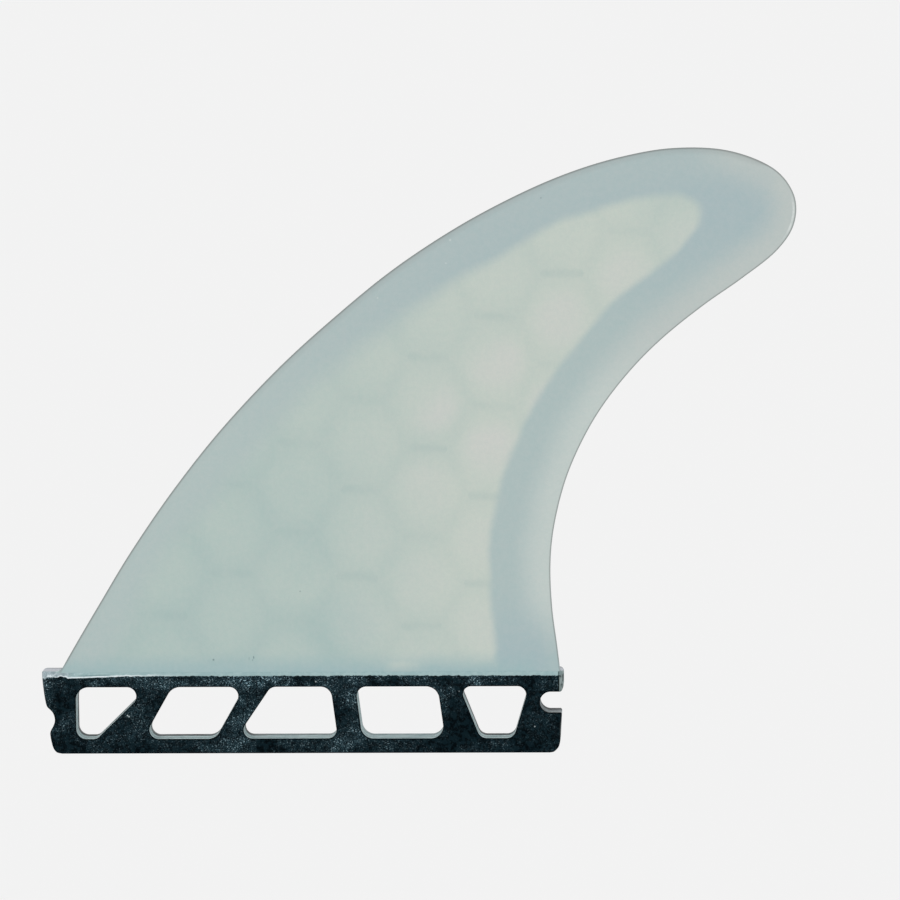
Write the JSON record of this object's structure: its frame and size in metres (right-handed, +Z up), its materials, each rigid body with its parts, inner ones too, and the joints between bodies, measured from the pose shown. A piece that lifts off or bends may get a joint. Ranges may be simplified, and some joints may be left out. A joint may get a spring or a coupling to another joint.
{
  "type": "surfboard side fin",
  "caption": "Swept side fin with a rounded tip on a flat base tab with slanted windows, a rear pin notch and a front screw seat.",
  "frame": {"origin": "centre of the underside of the base tab, which is the face that goes to the bottom of the board's fin box", "axes": "+Z up the blade away from the board, +X towards the trailing edge, -Y out of the blade's flat face"},
  "size_m": [0.1709, 0.007, 0.1365],
  "materials": {
    "laminate": "satin moulded glass-fibre laminate; the tab's two flat faces carry a dark textured coat",
    "core": "matt, sealed inside the laminate"
  },
  "bodies": {
    "root": {"fin_body": "laminate", "honeycomb_core": "core"}
  },
  "joints": []
}
